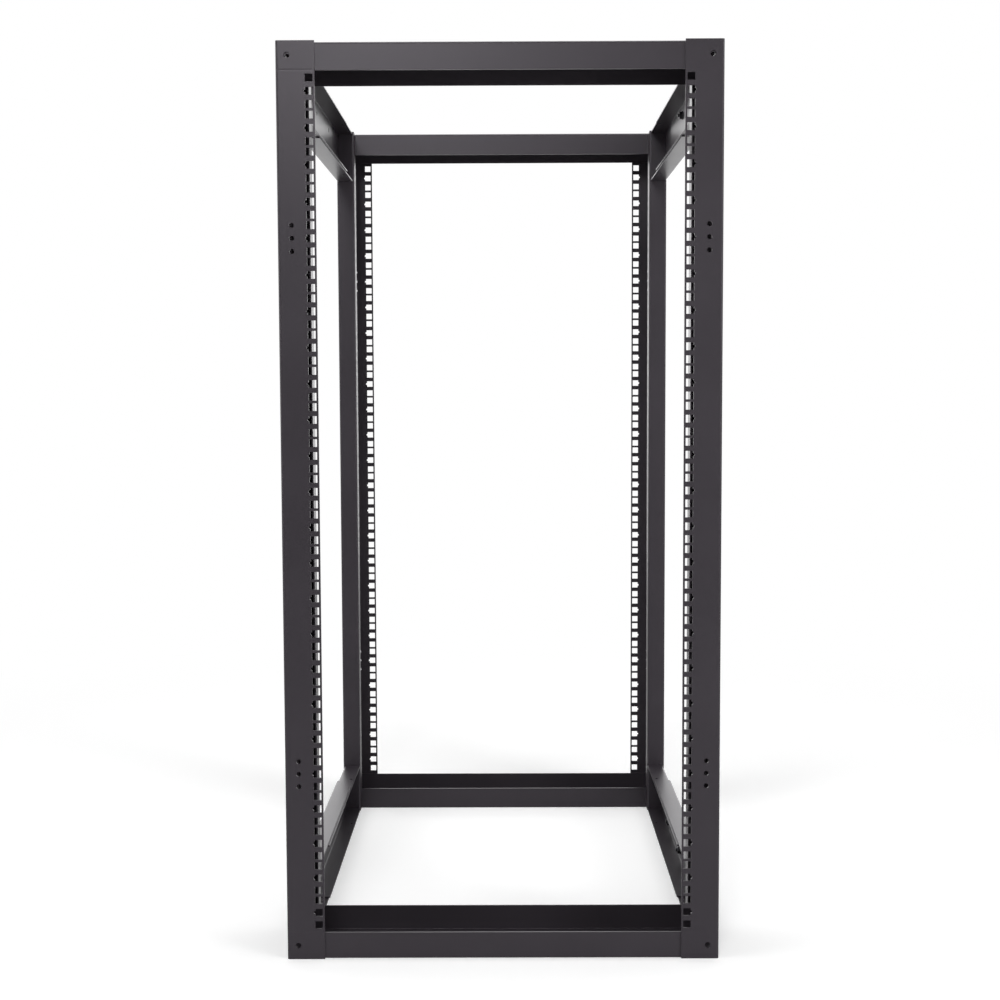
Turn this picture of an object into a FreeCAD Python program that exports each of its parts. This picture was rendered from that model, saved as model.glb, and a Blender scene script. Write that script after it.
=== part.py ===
import FreeCAD, Part
import math
import os

# Four post open frame rack, 24 rack units high, folded from steel sheet.
# Millimetres. X runs across the rack, Y from front to back, Z up from the floor.
# The origin is on the floor, below the middle of the rack.

# Sheet and folds
SHEET = 2.0
FOLD_RADIUS = 1.0

# Whole rack. Its width is the opening for the equipment and a rack flange on each side
RACK_OPENING = 450.85
RACK_FLANGE = 47.6
RACK_DEPTH = 812.8
RACK_UNITS = 24
UNIT_HEIGHT = 44.45
END_MARGIN = 38.1

# Square holes that carry the equipment, as the 19 inch standard sets them. The column of
# holes stands a little way in from the flange's free edge
HOLE_COLUMN_INSET = 7.125
SQUARE_HOLE = 9.5
FIRST_HOLE = 6.35
HOLE_STEP = 15.875
NOTCH_RADIUS = 2.0

# Posts
POST_DEPTH = 124.0
RETURN_WIDTH = 28.5
LIP_DEPTH = 28.0
LIP_CLEARANCE = 1.0

# Round holes in the rack flanges
CORNER_HOLE_INSET = 14.0
CORNER_HOLE_HEIGHT = 17.5
CORNER_HOLE_RADIUS = 3.75
PILOT_HOLE_RADIUS = 3.25
SMALL_HOLE_INSET = 17.2
SMALL_HOLE_RADIUS = 3.1
SMALL_HOLE_UNIT = 5
SMALL_HOLE_COUNT = 3

# Crossbeams. They stand against the rack flanges and stay clear of the return flanges' folds
BEAM_WALL = 34.0
BEAM_DROP = 1.5
BEAM_END_GAP = 1.0
BEAM_BACK_GAP = 16.0

# Side rails: an inner and an outer channel slide one inside the other and are bolted
# together, and their far ends are welded to the posts
RAIL_HEIGHT = 80.0
RAIL_WIDTH = 26.0
RAIL_OVERLAP = 351.8
WEB_HOLE_RADIUS = 3.5
WEB_HOLE_INSET = 20.0
WEB_HOLE_SPACING = 152.4
CLAMP_INSET = 34.3
OPEN_HOLE_INSET = 43.4
FLANGE_HOLE_RADIUS = 2.25
FLANGE_HOLE_INSET = 6.5
FLANGE_HOLE_DISTANCE = 90.0

# The many small holes and notches are cut with few flats
HOLE_SIDES = 8
NOTCH_SIDES = 3

HALF_OPENING = RACK_OPENING / 2
HALF_WIDTH = HALF_OPENING + RACK_FLANGE
HALF_DEPTH = RACK_DEPTH / 2
HEIGHT = RACK_UNITS * UNIT_HEIGHT + 2 * END_MARGIN
OUTER_RADIUS = FOLD_RADIUS + SHEET
CORNER_HOLE_X = HALF_WIDTH - CORNER_HOLE_INSET
BEAM_DEPTH = POST_DEPTH - 2 * SHEET - BEAM_BACK_GAP
BEAM_LENGTH = 2 * (HALF_WIDTH - SHEET - BEAM_END_GAP)
BEAM_TOP = HEIGHT - BEAM_DROP
LIP_CUT = BEAM_DROP + BEAM_WALL + LIP_CLEARANCE

# The rails fill the depth between the return flanges of the front and rear posts
RAIL_START = -HALF_DEPTH + POST_DEPTH
RAIL_RUN = RACK_DEPTH - 2 * POST_DEPTH
RAIL_LENGTH = (RAIL_RUN + RAIL_OVERLAP) / 2

UP = FreeCAD.Vector(0, 0, 1)
RIGHT = FreeCAD.Vector(1, 0, 0)
BACK = FreeCAD.Vector(0, 1, 0)
CENTRE = FreeCAD.Vector(0, 0, 0)


def folded_section(corners, inside):
    """Face of a folded sheet in the XY plane. The corners follow the sheet's outer side,
    every fold is a right angle towards the same side, and inside points off the first run
    towards the sheet's thickness."""
    points = [FreeCAD.Vector(x, y, 0) for x, y in corners]
    runs = [(b - a).normalize() for a, b in zip(points, points[1:])]
    normal = FreeCAD.Vector(inside[0], inside[1], 0)
    outer_edges = []
    inner_edges = []
    outer_from = points[0]
    inner_from = points[0] + normal * SHEET
    for corner, run, turn in zip(points[1:], runs, runs[1:]):
        centre = corner - run * OUTER_RADIUS + normal * OUTER_RADIUS
        middle = (corner - centre).normalize()
        outer_start = centre - normal * OUTER_RADIUS
        inner_start = centre - normal * FOLD_RADIUS
        outer_end = centre + run * OUTER_RADIUS
        inner_end = centre + run * FOLD_RADIUS
        outer_edges.append(Part.LineSegment(outer_from, outer_start).toShape())
        outer_edges.append(Part.Arc(outer_start, centre + middle * OUTER_RADIUS, outer_end).toShape())
        inner_edges.append(Part.LineSegment(inner_from, inner_start).toShape())
        inner_edges.append(Part.Arc(inner_start, centre + middle * FOLD_RADIUS, inner_end).toShape())
        outer_from = outer_end
        inner_from = inner_end
        normal = run * -1.0
    outer_to = points[-1]
    inner_to = outer_to + normal * SHEET
    outer_edges.append(Part.LineSegment(outer_from, outer_to).toShape())
    inner_edges.append(Part.LineSegment(inner_from, inner_to).toShape())
    start_edge = Part.LineSegment(points[0], points[0] + FreeCAD.Vector(inside[0], inside[1], 0) * SHEET)
    end_edge = Part.LineSegment(outer_to, inner_to)
    edges = outer_edges + inner_edges + [start_edge.toShape(), end_edge.toShape()]
    return Part.Face(Part.Wire(Part.__sortEdges__(edges)))


def block(low, high):
    """Box between two opposite corners."""
    size = [b - a for a, b in zip(low, high)]
    return Part.makeBox(size[0], size[1], size[2], FreeCAD.Vector(*low))


def round_cutter(x, y, z, radius, axis):
    """Round cutter, centred on a sheet at the point and longer than the sheet is thick."""
    start = FreeCAD.Vector(x, y, z) - axis * SHEET
    return Part.makeCylinder(radius, 2 * SHEET, start, axis)


def small_cutter(x, y, z, radius, axis):
    """Cutter like the round one, with few flats that keep the hole's area."""
    side = axis.cross(UP) if abs(axis.z) < 0.5 else RIGHT
    centre = FreeCAD.Vector(x, y, z) - axis * SHEET
    turn = 2 * math.pi / HOLE_SIDES
    reach = radius * math.sqrt(turn / math.sin(turn))
    across = axis.cross(side)
    points = []
    for index in range(HOLE_SIDES + 1):
        angle = turn * (index % HOLE_SIDES + 0.5)
        points.append(centre + side * (reach * math.cos(angle)) + across * (reach * math.sin(angle)))
    return Part.Face(Part.makePolygon(points)).extrude(axis * (2 * SHEET))


def mirrored(shape, normal):
    """The shape seen in a mirror through the origin."""
    return shape.mirror(CENTRE, normal)


def rack_hole_cutter(x, z, outward, notched):
    """Cutter for one rack hole through the front flange. A notch is a half round on the
    side away from the rack's opening."""
    half = SQUARE_HOLE / 2
    side = x + outward * half
    other = x - outward * half
    outline = [(side, z + half), (other, z + half), (other, z - half), (side, z - half)]
    if notched:
        for index in range(NOTCH_SIDES + 1):
            angle = math.pi * (index / NOTCH_SIDES - 0.5)
            reach = outward * NOTCH_RADIUS * math.cos(angle)
            outline.append((side + reach, z + NOTCH_RADIUS * math.sin(angle)))
    outline.append(outline[0])
    points = [FreeCAD.Vector(px, -HALF_DEPTH - SHEET, pz) for px, pz in outline]
    return Part.Face(Part.makePolygon(points)).extrude(BACK * (3 * SHEET))


def rack_hole_heights():
    """Height of each square hole and whether it is notched, three holes in each unit."""
    heights = []
    for unit in range(RACK_UNITS):
        base = END_MARGIN + unit * UNIT_HEIGHT + FIRST_HOLE
        heights.append((base, False))
        heights.append((base + HOLE_STEP, True))
        heights.append((base + 2 * HOLE_STEP, False))
    return heights


def front_left_post():
    """Lipped channel, open towards the rack's middle, with the rack holes in its front flange."""
    left = -HALF_WIDTH
    front = -HALF_DEPTH
    back = front + POST_DEPTH
    return_edge = left + RETURN_WIDTH
    outline = [
        (-HALF_OPENING, front),
        (left, front),
        (left, back),
        (return_edge, back),
        (return_edge, back - LIP_DEPTH),
    ]
    post = folded_section(outline, (0, 1)).extrude(UP * HEIGHT)

    cutters = []
    column = -HALF_OPENING - HOLE_COLUMN_INSET
    for height, notched in rack_hole_heights():
        cutters.append(rack_hole_cutter(column, height, -1, notched))

    # The lip's free edge is notched round the crossbeams, and its fold runs on
    notch_low = (return_edge - OUTER_RADIUS, back - LIP_DEPTH - SHEET)
    notch_high = (return_edge + SHEET, back - SHEET - BEAM_BACK_GAP + LIP_CLEARANCE)
    for base in (-SHEET, HEIGHT - LIP_CUT):
        top = base + LIP_CUT + SHEET
        cutters.append(block((notch_low[0], notch_low[1], base), (notch_high[0], notch_high[1], top)))

    # Round holes beside the square ones
    flange_y = front + SHEET / 2
    for height in (CORNER_HOLE_HEIGHT, HEIGHT - CORNER_HOLE_HEIGHT):
        cutters.append(round_cutter(-CORNER_HOLE_X, flange_y, height, CORNER_HOLE_RADIUS, BACK))
    small_x = left + SMALL_HOLE_INSET
    for unit in (SMALL_HOLE_UNIT - 1, RACK_UNITS - SMALL_HOLE_UNIT):
        base = END_MARGIN + unit * UNIT_HEIGHT + FIRST_HOLE
        for index in range(SMALL_HOLE_COUNT):
            height = base + index * HOLE_STEP
            cutters.append(small_cutter(small_x, flange_y, height, SMALL_HOLE_RADIUS, BACK))
    return post.cut(cutters)


def front_bottom_beam():
    """Channel between the front posts, open upwards, nested between their flanges."""
    front = -HALF_DEPTH + SHEET
    back = front + BEAM_DEPTH
    start = -BEAM_LENGTH / 2
    outline = [(front, BEAM_WALL), (front, 0), (back, 0), (back, BEAM_WALL)]
    face = folded_section(outline, (1, 0))
    # The section is drawn flat, then stood up so that it runs along X
    face.Placement = FreeCAD.Placement(CENTRE, FreeCAD.Rotation(BACK, UP, RIGHT, "ZXY"))
    beam = face.extrude(RIGHT * BEAM_LENGTH)
    beam.translate(RIGHT * start)

    wall_y = front + SHEET / 2
    for x in (-CORNER_HOLE_X, CORNER_HOLE_X):
        beam = beam.cut(small_cutter(x, wall_y, CORNER_HOLE_HEIGHT, PILOT_HOLE_RADIUS, BACK))
    return beam


def rail_channel(outer_x, low, high):
    """Plain channel along Y from 0, with its web at outer_x and its flanges towards +X.
    The web hole distances are measured from this end, which is welded to the post."""
    tip = outer_x + RAIL_WIDTH
    face = folded_section([(tip, low), (outer_x, low), (outer_x, high), (tip, high)], (0, 1))
    face.Placement = FreeCAD.Placement(CENTRE, FreeCAD.Rotation(RIGHT, UP, BACK * -1.0, "ZXY"))
    rail = face.extrude(BACK * RAIL_LENGTH)
    hole_x = tip - FLANGE_HOLE_INSET
    for z in (low + SHEET / 2, high - SHEET / 2):
        rail = rail.cut(small_cutter(hole_x, FLANGE_HOLE_DISTANCE, z, FLANGE_HOLE_RADIUS, UP))
    return rail


def web_cutters(web_x, first, height):
    """Cutters for a pair of holes through a rail's web, from the first one's place along Y."""
    places = (first, first + WEB_HOLE_SPACING)
    return [small_cutter(web_x, y, height, WEB_HOLE_RADIUS, RIGHT) for y in places]


def left_top_rail():
    """The two channels of the left top rail: the inner one on the front post, and the
    outer one on the rear post. Each is made at Y = 0 and then set against its post."""
    low = BEAM_TOP - RAIL_HEIGHT
    clamp_z = low + WEB_HOLE_INSET
    open_z = BEAM_TOP - WEB_HOLE_INSET
    last_clamp = RAIL_LENGTH - CLAMP_INSET
    last_open = RAIL_LENGTH - OPEN_HOLE_INSET

    outer_x = -HALF_WIDTH
    outer = rail_channel(outer_x, low, BEAM_TOP)
    outer_clamp = last_clamp - WEB_HOLE_SPACING
    outer = outer.cut(web_cutters(outer_x + SHEET / 2, outer_clamp, clamp_z))

    # The inner channel's clamp holes are the outer one's, seen from the other post
    inner_x = outer_x + SHEET
    inner = rail_channel(inner_x, low + SHEET, BEAM_TOP - SHEET)
    inner = inner.cut(web_cutters(inner_x + SHEET / 2, RAIL_RUN - last_clamp, clamp_z))
    inner = inner.cut(web_cutters(inner_x + SHEET / 2, last_open - WEB_HOLE_SPACING, open_z))
    inner.translate(BACK * RAIL_START)

    outer = mirrored(outer, BACK)
    outer.translate(BACK * -RAIL_START)
    return inner, outer


def half_turn(shape, axis):
    """The shape turned by half a turn about an axis through the frame's middle."""
    turned = shape.copy()
    turned.rotate(UP * (BEAM_TOP / 2), axis, 180)
    return turned


def build():
    pieces = {}
    post = front_left_post()
    rear_post = mirrored(post, BACK)
    pieces["post_front_left"] = post
    pieces["post_front_right"] = mirrored(post, RIGHT)
    pieces["post_rear_left"] = rear_post
    pieces["post_rear_right"] = mirrored(rear_post, RIGHT)

    beam = front_bottom_beam()
    rear_beam = mirrored(beam, BACK)
    pieces["crossbeam_front_bottom"] = beam
    pieces["crossbeam_rear_bottom"] = rear_beam
    pieces["crossbeam_front_top"] = half_turn(rear_beam, RIGHT)
    pieces["crossbeam_rear_top"] = half_turn(beam, RIGHT)

    # All four side rails are the same pair of channels, turned over
    inner, outer = left_top_rail()
    lift = UP * (BEAM_TOP - RAIL_HEIGHT)
    right_inner = half_turn(inner, BACK)
    right_inner.translate(lift)
    right_outer = half_turn(outer, BACK)
    right_outer.translate(lift)
    pieces["side_rail_left_top_front"] = inner
    pieces["side_rail_left_top_rear"] = outer
    pieces["side_rail_left_bottom_front"] = half_turn(outer, RIGHT)
    pieces["side_rail_left_bottom_rear"] = half_turn(inner, RIGHT)
    pieces["side_rail_right_top_front"] = right_inner
    pieces["side_rail_right_top_rear"] = right_outer
    pieces["side_rail_right_bottom_front"] = half_turn(right_outer, RIGHT)
    pieces["side_rail_right_bottom_rear"] = half_turn(right_inner, RIGHT)
    return pieces


os.makedirs("parts", exist_ok=True)
for piece_name, piece in build().items():
    solid = piece.Solids[0]
    solid.exportStep(os.path.join("parts", piece_name + ".step"))
    box = solid.BoundBox
    size = [round(length, 2) for length in (box.XLength, box.YLength, box.ZLength)]
    print(piece_name, len(piece.Solids), "solid,", size)
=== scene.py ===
# %% [markdown]
# # Four post open frame rack
# The rack is folded from 2 mm steel sheet, welded, and powder coated in a satin black. The
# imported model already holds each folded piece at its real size. So this file adds only what
# comes after the press brake: the coating, and the bolts that clamp the side rails.
# Everything is in metres, in the model's own frame: X across, Y from front to back, Z up.

import math

import bmesh
import bpy
from mathutils import Matrix, Vector


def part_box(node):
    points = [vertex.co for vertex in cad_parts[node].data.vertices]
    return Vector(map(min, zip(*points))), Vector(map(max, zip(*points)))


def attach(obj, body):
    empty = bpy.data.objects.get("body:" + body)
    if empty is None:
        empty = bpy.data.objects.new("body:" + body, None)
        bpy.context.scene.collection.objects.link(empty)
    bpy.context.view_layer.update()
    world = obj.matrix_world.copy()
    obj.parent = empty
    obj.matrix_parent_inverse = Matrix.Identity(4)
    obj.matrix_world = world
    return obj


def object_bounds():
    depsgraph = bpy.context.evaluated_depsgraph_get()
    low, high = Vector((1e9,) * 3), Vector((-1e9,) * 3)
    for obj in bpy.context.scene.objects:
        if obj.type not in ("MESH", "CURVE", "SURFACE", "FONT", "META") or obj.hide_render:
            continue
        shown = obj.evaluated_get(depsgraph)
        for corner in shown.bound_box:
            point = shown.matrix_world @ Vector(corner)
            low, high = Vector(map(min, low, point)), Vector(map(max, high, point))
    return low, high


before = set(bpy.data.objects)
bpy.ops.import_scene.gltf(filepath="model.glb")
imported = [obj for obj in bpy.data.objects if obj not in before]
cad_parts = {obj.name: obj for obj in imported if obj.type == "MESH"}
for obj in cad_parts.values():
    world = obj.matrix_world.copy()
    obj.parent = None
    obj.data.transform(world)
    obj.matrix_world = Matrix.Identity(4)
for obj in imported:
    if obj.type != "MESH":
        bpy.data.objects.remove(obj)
cad_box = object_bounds()
low, high = Vector(cad_box[0]), Vector(cad_box[1])
middle = (low + high) / 2
print("pieces:", len(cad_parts), "box:", [round(length, 4) for length in high - low])

# %% [markdown]
# ## The camera
# The photograph is taken from almost square on, a little above the middle of the rack and
# tipped down by about four degrees. A long way back with a longer lens would give the same
# size but flatter depth. The rear posts look much narrower than the front ones, and that
# fixes how near the camera stood. The lens follows from the distance.

# %% Place the camera
PHOTO_PIXELS = 1000
FOCAL_PIXELS = 1559.2
SENSOR_WIDTH = 36.0
CAMERA_DISTANCE = 1.9266
CAMERA_ASIDE = 0.0066
CAMERA_HEIGHT = 0.7257
CAMERA_TIP = 0.07405
CAMERA_TURN = 0.00434
CAMERA_ROLL = -0.00362

camera_data = bpy.data.cameras.new("photo_camera")
camera_data.sensor_width = SENSOR_WIDTH
camera_data.lens = FOCAL_PIXELS / PHOTO_PIXELS * SENSOR_WIDTH
camera = bpy.data.objects.new("photo_camera", camera_data)
bpy.context.scene.collection.objects.link(camera)
turn = Matrix.Rotation(CAMERA_TURN, 4, "Z")
tip = Matrix.Rotation(math.pi / 2 - CAMERA_TIP, 4, "X")
roll = Matrix.Rotation(CAMERA_ROLL, 4, "Z")
stand = Matrix.Translation((CAMERA_ASIDE, low.y - CAMERA_DISTANCE, CAMERA_HEIGHT))
camera.matrix_world = stand @ turn @ tip @ roll
bpy.context.scene.camera = camera
bpy.context.scene.view_settings.view_transform = "Standard"
print("lens:", round(camera_data.lens, 2), "mm")

# %% [markdown]
# ## Shader sums as plain expressions
# A material is a web of nodes, and most of the nodes are small sums. Wiring each sum by hand
# hides what it means. Here one class wraps an output socket and lends it Python's own
# operators, so `0.4 + 0.1 * cloud` adds the two Math nodes and links them.

# %% A socket that can be reckoned with
class Wire:
    """An output socket that can be added, taken away and multiplied."""

    def __init__(self, tree, socket):
        self.tree = tree
        self.socket = socket

    def math(self, operation, first, second):
        return self.tree.node("Math", {"operation": operation}, {0: first, 1: second})

    def __add__(self, other):
        return self.math("ADD", self, other)

    def __radd__(self, other):
        return self.math("ADD", other, self)

    def __sub__(self, other):
        return self.math("SUBTRACT", self, other)

    def __rsub__(self, other):
        return self.math("SUBTRACT", other, self)

    def __mul__(self, other):
        return self.math("MULTIPLY", self, other)

    def __rmul__(self, other):
        return self.math("MULTIPLY", other, self)

    def __abs__(self):
        return self.tree.node("Math", {"operation": "ABSOLUTE"}, {0: self})


print("sums on sockets: plus, minus, times and abs")

# %% [markdown]
# The second class holds the tree, and its one method makes every other kind of node. It sets
# the settings first, because some settings change which sockets exist, and then the values
# or links. Noise takes its size in metres, so a lump's size can be compared with the steel.

# %% A tree that makes its nodes
class Tree:
    """A node tree, emptied and ready to be built up."""

    def __init__(self, owner):
        owner.use_nodes = True
        self.owner = owner
        self.nodes = owner.node_tree.nodes
        self.links = owner.node_tree.links
        self.nodes.clear()

    def node(self, kind, settings=None, values=None, output=0):
        made = self.nodes.new("ShaderNode" + kind)
        for name, value in (settings or {}).items():
            if name == "stops":
                self.set_stops(made.color_ramp, value)
            else:
                setattr(made, name, value)
        for key, value in (values or {}).items():
            if isinstance(value, Wire):
                self.links.new(value.socket, made.inputs[key])
            else:
                made.inputs[key].default_value = value
        if len(made.outputs) == 0:
            return made
        return Wire(self, made.outputs[output])

    def set_stops(self, ramp, stops):
        """Grey stops of a colour ramp, as pairs of place and level."""
        for index, (place, level) in enumerate(stops):
            if index >= len(ramp.elements):
                ramp.elements.new(place)
            ramp.elements[index].position = place
            ramp.elements[index].color = (level, level, level, 1.0)

    def noise(self, place, size, detail=2.0):
        """Noise whose lumps are about this many metres across, from 0 to 1."""
        values = {"Vector": place, "Scale": 1.0 / size, "Detail": detail}
        return self.node("TexNoise", {"noise_dimensions": "3D"}, values)

    def blend(self, factor, first, second):
        """A colour between two others."""
        values = {0: factor, 6: first, 7: second}
        return self.node("Mix", {"data_type": "RGBA"}, values, output=2)

    def smooth_step(self, value, start, end, first=0.0, last=1.0):
        """Goes softly from first to last while value goes from start to end."""
        spread = {"Value": value, "From Min": start, "From Max": end}
        spread.update({"To Min": first, "To Max": last})
        return self.node("MapRange", {"interpolation_type": "SMOOTHSTEP"}, spread)

    def finish(self, shader):
        self.node("OutputMaterial", None, {"Surface": shader})
        print("finish:", self.owner.name, "with", len(self.nodes), "nodes")
        return self.owner


print("node maker: ready")

# %% [markdown]
# ## Witness lines of the crossbeams
# A crossbeam stands behind each end of a post's rack flange. Where its edge ends, the welded
# sheet draws in by a hair, and a faint line shows across the face. That is far too shallow to
# model, and it is always at one height, so it is a soft groove in the bump.

# %% A line across a face
LINE_HALF_WIDTH = 0.002
LINE_DEPTH = 3.0  # in parts of the peel's height
BEAM_EDGE = 0.0355


def witness_line(tree, place, height):
    """A soft groove across the piece at one height above the floor."""
    level = tree.node("SeparateXYZ", None, {"Vector": place}, output="Z")
    away = abs(level - height)
    return -LINE_DEPTH * tree.smooth_step(away, 0.0, LINE_HALF_WIDTH, first=1.0, last=0.0)


witness_heights = (low.z + BEAM_EDGE, high.z - BEAM_EDGE)
print("witness lines at", [round(height, 4) for height in witness_heights])

# %% [markdown]
# ## Satin black powder coat
# Powder coat is a plastic skin, baked on. Seen close, it has the fine orange peel that the
# powder leaves as it melts, and its gloss drifts a little where the film is thicker. Handling
# leaves faint dull clouds. The black isn't quite neutral: beside a white background it leans
# to purple. A photograph of the whole rack shows none of this as pattern: it shows as the way
# the highlights spread. So the peel is bump, at its real size of about a millimetre, and the
# drift goes to roughness and only faintly to colour.

# %% Measures of the powder coat
COAT_BLACK = (0.0235, 0.0198, 0.0242, 1.0)
COAT_WORN = (0.0365, 0.0315, 0.0375, 1.0)
COAT_SHEEN = (0.98, 0.94, 1.0, 1.0)
COAT_MIRROR = 0.34
COAT_ROUGHNESS = 0.31
ROUGHNESS_DRIFT = 0.06
PEEL_SIZE = 0.0013
PEEL_HEIGHT = 0.00004
PEEL_PART = 0.7
PEEL_STRENGTH = 0.6
SPECK_SIZE = 0.0005
SPECK_PART = 0.3
SPECK_COLOUR = 0.25
CLOUD_SIZE = 0.14
CLOUD_COLOUR = 0.35
CLOUD_STOPS = [(0.45, 0.0), (0.75, 1.0)]
print("peel:", PEEL_SIZE * 1000, "mm across and", PEEL_HEIGHT * 1000, "mm high")

# %% [markdown]
# The posts and the other pieces get the same coat, and only the posts have the lines.

# %% Make the powder coat
def powder_coat(name, lines_at=()):
    """Powder coat, with a faint line across the piece at each of the given heights."""
    coat = Tree(bpy.data.materials.new(name))
    place = coat.node("TexCoord", output="Object")
    peel = coat.noise(place, PEEL_SIZE)
    speck = coat.noise(place, SPECK_SIZE, detail=1.0)
    cloud = coat.noise(place, CLOUD_SIZE, detail=4.0)
    rubbed = coat.node("ValToRGB", {"stops": CLOUD_STOPS}, {"Fac": cloud})
    worn = SPECK_COLOUR * speck + CLOUD_COLOUR * rubbed
    roughness = COAT_ROUGHNESS + ROUGHNESS_DRIFT * cloud + ROUGHNESS_DRIFT * peel
    height = PEEL_PART * peel + SPECK_PART * speck
    for line_height in lines_at:
        height = height + witness_line(coat, place, line_height)
    relief = {"Strength": PEEL_STRENGTH, "Distance": PEEL_HEIGHT, "Height": height}
    values = {"Base Color": coat.blend(worn, COAT_BLACK, COAT_WORN), "Roughness": roughness}
    values.update({"Specular IOR Level": COAT_MIRROR, "Specular Tint": COAT_SHEEN})
    values["Normal"] = coat.node("Bump", None, relief)
    return coat.finish(coat.node("BsdfPrincipled", None, values))


post_coat = powder_coat("post_powder_coat", witness_heights)
beam_and_rail_coat = powder_coat("beam_and_rail_powder_coat")
for name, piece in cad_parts.items():
    piece.data.materials.clear()
    piece.data.materials.append(post_coat if name.startswith("post") else beam_and_rail_coat)
print("coated:", ", ".join(sorted(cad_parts)))

# %% [markdown]
# ## The bolts that clamp the side rails
# Each side rail is two channels, one inside the other, held by two M6 bolts. The head sits
# outside and a flanged nut inside. Both are turned or forged parts, so both come from one
# lathe helper that spins a profile round the bolt's axis. For the nut, a profile is spun in
# six steps. That gives a hexagon with real chamfers, where a plain prism would look like a
# toy.

# %% Lathe helper
ROUND_STEPS = 32
HEXAGON_STEPS = 6


def turned(mesh, profile, steps):
    """Spin a profile of (radius, height) points round Z and close both ends."""
    rings = []
    for radius, height in profile:
        ring = []
        for step in range(steps):
            angle = 2 * math.pi * (step + 0.5) / steps
            corner = (radius * math.cos(angle), radius * math.sin(angle), height)
            ring.append(mesh.verts.new(corner))
        rings.append(ring)
    for lower, upper in zip(rings, rings[1:]):
        for step in range(steps):
            after = (step + 1) % steps
            mesh.faces.new((lower[step], lower[after], upper[after], upper[step]))
    mesh.faces.new(list(reversed(rings[0])))
    mesh.faces.new(rings[-1])


print("lathe:", ROUND_STEPS, "steps round,", HEXAGON_STEPS, "for a hexagon")

# %% [markdown]
# The nut's flange spreads the load on the painted sheet, so it has a thin round rim under a
# hexagon. The thread is only seen where it stands out of the nut, two or three turns of it.
# Rings are enough there, since nobody can follow a helix over three millimetres.

# %% Profiles of the nut and the thread
CLAMPED = 0.004  # two sheets
EDGE = 0.0003
THREAD_RADIUS = 0.003
THREAD_PITCH = 0.001
THREAD_DEPTH = 0.0006
THREAD_CHAMFER = 0.0008
THREAD_OUT = 0.0025
NUT_BORE = 0.0031
NUT_CORNER = 0.0115 / 2
NUT_HEIGHT = 0.0055
FLANGE_RADIUS = 0.0065
FLANGE_HEIGHT = 0.0012


def flange_profile():
    top = FLANGE_HEIGHT + EDGE
    foot = [(NUT_BORE, 0.0), (FLANGE_RADIUS - EDGE, 0.0)]
    rim = [(FLANGE_RADIUS, EDGE), (FLANGE_RADIUS, FLANGE_HEIGHT - EDGE)]
    return foot + rim + [(NUT_CORNER, top), (NUT_BORE, top)]


def hexagon_profile():
    side = [(NUT_CORNER, FLANGE_HEIGHT), (NUT_CORNER, NUT_HEIGHT - 2 * EDGE)]
    chamfer = (NUT_CORNER - 2 * EDGE, NUT_HEIGHT)
    return [(NUT_BORE, FLANGE_HEIGHT)] + side + [chamfer, (NUT_BORE, NUT_HEIGHT)]


def thread_profile():
    points = [(THREAD_RADIUS, -CLAMPED), (THREAD_RADIUS, NUT_HEIGHT - THREAD_PITCH)]
    height = NUT_HEIGHT - THREAD_PITCH / 2
    while height < NUT_HEIGHT + THREAD_OUT - THREAD_PITCH:
        points.append((THREAD_RADIUS - THREAD_DEPTH, height))
        points.append((THREAD_RADIUS, height + THREAD_PITCH / 2))
        height += THREAD_PITCH
    points.append((THREAD_RADIUS - THREAD_CHAMFER, NUT_HEIGHT + THREAD_OUT))
    return points


print("thread:", len(thread_profile()), "points, out by", THREAD_OUT * 1000, "mm")

# %% [markdown]
# The head outside is a low dome, so that nothing catches on it when the rack is pushed
# against a wall or another rack. A quarter of a circle in five steps is round enough.

# %% Make one clamp bolt
HEAD_RADIUS = 0.0065
HEAD_HEIGHT = 0.0032
HEAD_FLAT = 0.0012
DOME_STEPS = 5


def head_profile():
    points = [(HEAD_FLAT, -CLAMPED - HEAD_HEIGHT)]
    for step in range(1, DOME_STEPS + 1):
        angle = math.pi / 2 * step / DOME_STEPS
        drop = HEAD_HEIGHT * math.cos(angle)
        points.append((HEAD_RADIUS * math.sin(angle), -CLAMPED - drop))
    points.append((HEAD_RADIUS - EDGE, -CLAMPED))
    return points


def clamp_bolt(name):
    """Bolt along Z: the nut sits on Z = 0, and the head under the two clamped sheets."""
    mesh = bmesh.new()
    turned(mesh, flange_profile(), ROUND_STEPS)
    turned(mesh, hexagon_profile(), HEXAGON_STEPS)
    turned(mesh, thread_profile(), ROUND_STEPS)
    turned(mesh, head_profile(), ROUND_STEPS)
    data = bpy.data.meshes.new(name)
    bmesh.ops.recalc_face_normals(mesh, faces=mesh.faces)
    mesh.to_mesh(data)
    mesh.free()
    bolt = bpy.data.objects.new(name, data)
    bpy.context.scene.collection.objects.link(bolt)
    return bolt


print("bolt head:", HEAD_RADIUS * 2000, "mm across")

# %% [markdown]
# The bolts are blackened steel: darker and a little shinier than the coat, and greyer in
# patches where a spanner has rubbed the blackening.

# %% Make the blackened steel
BOLT_BLACK = (0.03, 0.03, 0.032, 1.0)
BOLT_GREY = (0.09, 0.09, 0.095, 1.0)
BOLT_METAL = 0.8
BOLT_ROUGHNESS = 0.3
PATCH_SIZE = 0.004
PATCH_COLOUR = 0.6
GRAIN_SIZE = 0.0008
GRAIN_HEIGHT = 0.00003
GRAIN_STRENGTH = 0.4
GRAIN_ROUGHNESS = 0.2


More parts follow.
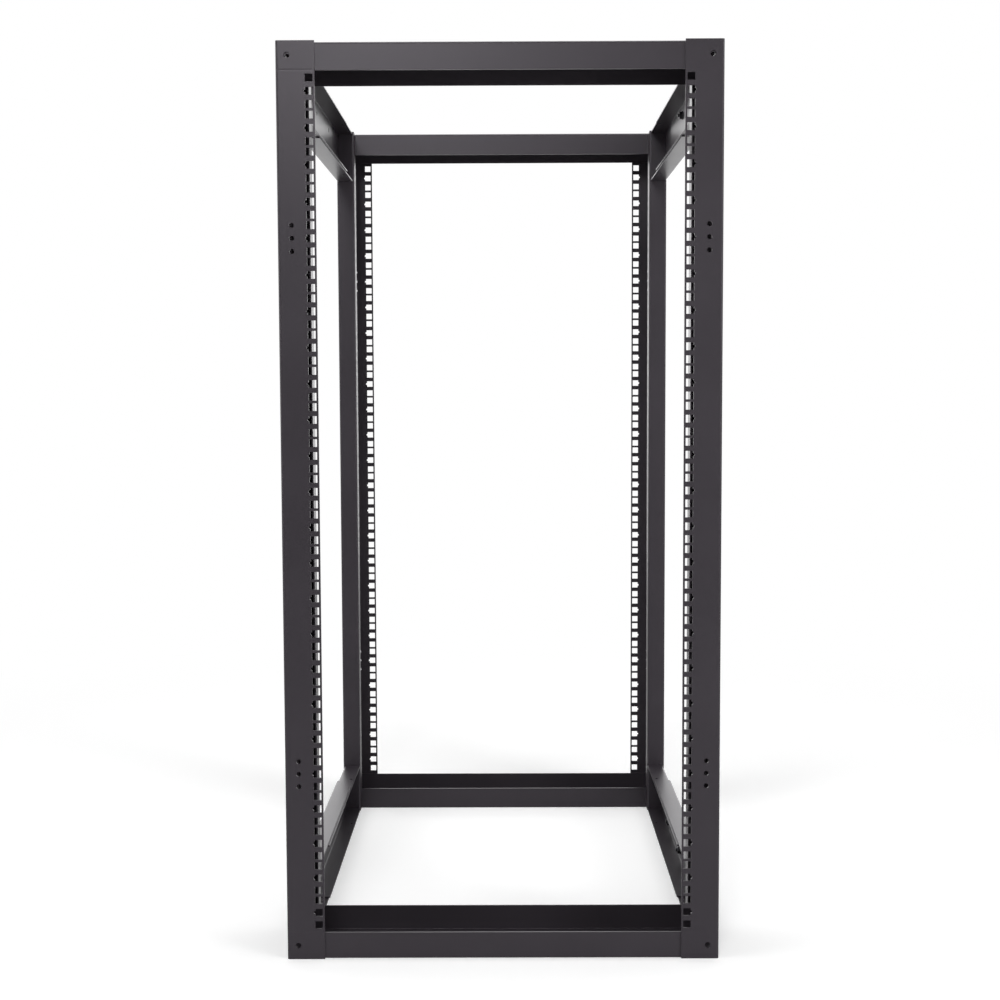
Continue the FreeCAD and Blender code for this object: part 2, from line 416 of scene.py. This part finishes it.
def blackened_steel(name):
    steel = Tree(bpy.data.materials.new(name))
    place = steel.node("TexCoord", output="Object")
    grain = steel.noise(place, GRAIN_SIZE)
    patch = steel.noise(place, PATCH_SIZE)
    colour = steel.blend(PATCH_COLOUR * patch, BOLT_BLACK, BOLT_GREY)
    relief = {"Strength": GRAIN_STRENGTH, "Distance": GRAIN_HEIGHT, "Height": grain}
    values = {"Base Color": colour, "Metallic": BOLT_METAL}
    values["Roughness"] = BOLT_ROUGHNESS + GRAIN_ROUGHNESS * grain
    values["Normal"] = steel.node("Bump", None, relief)
    return steel.finish(steel.node("BsdfPrincipled", None, values))


bolt_steel = blackened_steel("blackened_steel")

# %% [markdown]
# The bolts sit in the rails' clamp holes. Their places follow from the box of the outer
# channel: two distances from its free end, and one height. All four rails are the same pair
# turned over, so the row that is low on the left top rail is high on the right.

# %% Put the bolts in the rails
CLAMP_INSET = 0.0343
CLAMP_SPACING = 0.1524
ROW_INSET = 0.020

for side in ("left", "right"):
    outward = -1 if side == "left" else 1
    outer_face = high.x if side == "right" else low.x
    facing_in = Matrix.Rotation(-outward * math.pi / 2, 4, "Y")
    for level in ("top", "bottom"):
        outer_end = "rear" if level == "top" else "front"
        outer_low, outer_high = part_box("side_rail_%s_%s_%s" % (side, level, outer_end))
        low_row = (side == "left") == (level == "top")
        row = outer_low.z + ROW_INSET if low_row else outer_high.z - ROW_INSET
        for index in range(2):
            along = CLAMP_INSET + index * CLAMP_SPACING
            y = outer_low.y + along if level == "top" else outer_high.y - along
            bolt = clamp_bolt("clamp_bolt_%s_%s_%d" % (side, level, index + 1))
            place = Matrix.Translation((outer_face - outward * CLAMPED, y, row))
            bolt.matrix_world = place @ facing_in
            bolt.data.materials.append(bolt_steel)
            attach(bolt, "root")
            print(bolt.name, [round(value, 4) for value in bolt.matrix_world.translation])

# %% [markdown]
# ## Floor and studio light
# The rack was photographed on plain white. The floor is a pale sheet that takes the shadow,
# with a glow of its own for the camera and for reflections only, so that it comes out white
# and adds no light to the steel. Lamps reach only so far, so beyond the rack the floor fades
# into plain white for the camera and meets the background without a seam. In reflections it
# fades the other way: the steel mirrors a bright floor at its feet and a dim room beyond.

# %% Mirror rays and a glow
WHITE = (1.0, 1.0, 1.0, 1.0)


def mirror_ray(tree):
    """1 for mirror and see-through rays, or else 0."""
    mirrored = tree.node("LightPath", output="Is Glossy Ray")
    through = tree.node("LightPath", output="Is Transmission Ray")
    return mirrored + through


def glowing(tree, matt, strength):
    """The same surface with some light of its own."""
    glow = tree.node("Emission", None, {"Color": WHITE, "Strength": strength})
    return tree.node("AddShader", None, {0: matt, 1: glow})


print("white:", WHITE[:3])

# %% [markdown]
# The fades follow the distance from the rack's middle, so they look the same from all sides.

# %% Make the floor's finish
FLOOR_PALE = (0.8, 0.8, 0.8, 1.0)
FLOOR_MOTTLE = (0.82, 0.82, 0.82, 1.0)
FLOOR_ROUGHNESS = 0.9
MOTTLE_SIZE = 0.05
GLOW_MIRRORED = 0.1
GLOW_SEEN = 0.3
FADE_FROM = 0.6
FADE_TO = 2.0


def floor_finish(name):
    pale = Tree(bpy.data.materials.new(name))
    place = pale.node("TexCoord", output="Object")
    colour = pale.blend(pale.noise(place, MOTTLE_SIZE), FLOOR_PALE, FLOOR_MOTTLE)
    values = {"Base Color": colour, "Roughness": FLOOR_ROUGHNESS}
    matt = pale.node("BsdfPrincipled", None, values)
    distance = pale.node("VectorMath", {"operation": "LENGTH"}, {0: place}, output="Value")
    far = pale.smooth_step(distance, FADE_FROM, FADE_TO)
    far_white = pale.node("Emission", None, {"Color": WHITE, "Strength": 1.0})
    near_seen = glowing(pale, matt, GLOW_SEEN)
    for_camera = pale.node("MixShader", None, {0: far, 1: near_seen, 2: far_white})
    near_mirror_ray = mirror_ray(pale) * (1.0 - far)
    near_mirrored = glowing(pale, matt, GLOW_MIRRORED)
    others = {0: near_mirror_ray, 1: matt, 2: near_mirrored}
    for_others = pale.node("MixShader", None, others)
    seen = pale.node("LightPath", output="Is Camera Ray")
    return pale.finish(pale.node("MixShader", None, {0: seen, 1: for_others, 2: for_camera}))


floor_white = floor_finish("studio_floor")

# %% [markdown]
# The sheet itself is flat and far wider than any view of the rack needs.

# %% Lay the floor
FLOOR_SIZE = 30.0
FLOOR_CELLS = 4

floor_mesh = bmesh.new()
grid = {"x_segments": FLOOR_CELLS, "y_segments": FLOOR_CELLS, "size": FLOOR_SIZE / 2}
bmesh.ops.create_grid(floor_mesh, **grid)
floor_data = bpy.data.meshes.new("floor")
floor_mesh.to_mesh(floor_data)
floor_mesh.free()
floor = bpy.data.objects.new("floor", floor_data)
bpy.context.scene.collection.objects.link(floor)
floor.location.z = low.z
floor.data.materials.append(floor_white)
print("floor:", FLOOR_SIZE, "m square")

# %% [markdown]
# A white backdrop stands behind the rack, and the room behind the photographer is dim. A
# camera sees white everywhere, and a mirror ray sees it only when it leaves towards the back.
# That is why the faces square to the camera are dark while the grazing ones are bright.

# %% Light from all around
WORLD_LEVEL = 0.18
BACKDROP_EDGE = 0.25

world = bpy.data.worlds.new("studio")
bpy.context.scene.world = world
sky = Tree(world)
dim = sky.node("Background", None, {"Color": WHITE, "Strength": WORLD_LEVEL})
white = sky.node("Background", None, {"Color": WHITE, "Strength": 1.0})
direction = sky.node("TexCoord", output="Generated")
backward = sky.node("SeparateXYZ", None, {"Vector": direction}, output="Y")
to_backdrop = {"Value": backward, "From Min": -BACKDROP_EDGE, "From Max": BACKDROP_EDGE}
backdrop = sky.node("MapRange", None, to_backdrop)
seen = sky.node("LightPath", output="Is Camera Ray")
shows_white = seen + mirror_ray(sky) * backdrop
around = sky.node("MixShader", None, {0: shows_white, 1: dim, 2: white})
sky.node("OutputWorld", None, {"Surface": around})
print("world:", len(sky.nodes), "nodes")

# %% [markdown]
# The key is a small softbox high in front and just left of the middle. It gives the top left
# of the rack its sheen. A low one to its right keeps the right post from going flat. The ones
# at both sides, overhead and behind stand where the faces square to the camera don't mirror
# them, and bring every side near the level at which a plain card renders in its own colour.

# %% Set up the softboxes
SOFTBOXES = (
    # name, place, width, height, watts
    ("key_softbox", (-0.45, -3.3, 2.1), 0.7, 0.9, 34.0),
    ("right_softbox", (3.0, -2.4, 1.4), 1.4, 1.8, 62.0),
    ("low_softbox", (0.8, -3.6, 0.85), 1.2, 1.2, 5.0),
    ("overhead_softbox", (0.0, -0.1, 2.7), 2.4, 1.0, 40.0),
    ("left_softbox", (-3.3, -1.6, 1.2), 1.8, 1.8, 46.0),
    ("rear_softbox", (0.0, 3.6, 1.2), 4.0, 2.4, 48.0),
)


def softbox(name, place, width, height, power):
    """A soft lamp that faces the middle of the rack."""
    lamp_data = bpy.data.lights.new(name, "AREA")
    lamp_data.shape = "RECTANGLE"
    lamp_data.size = width
    lamp_data.size_y = height
    lamp_data.energy = power
    lamp = bpy.data.objects.new(name, lamp_data)
    bpy.context.scene.collection.objects.link(lamp)
    lamp.location = place
    aim = middle - Vector(place)
    lamp.rotation_euler = aim.to_track_quat("-Z", "Y").to_euler()
    lamp.visible_camera = False
    print("lamp:", name, power, "W")


for row in SOFTBOXES:
    softbox(*row)
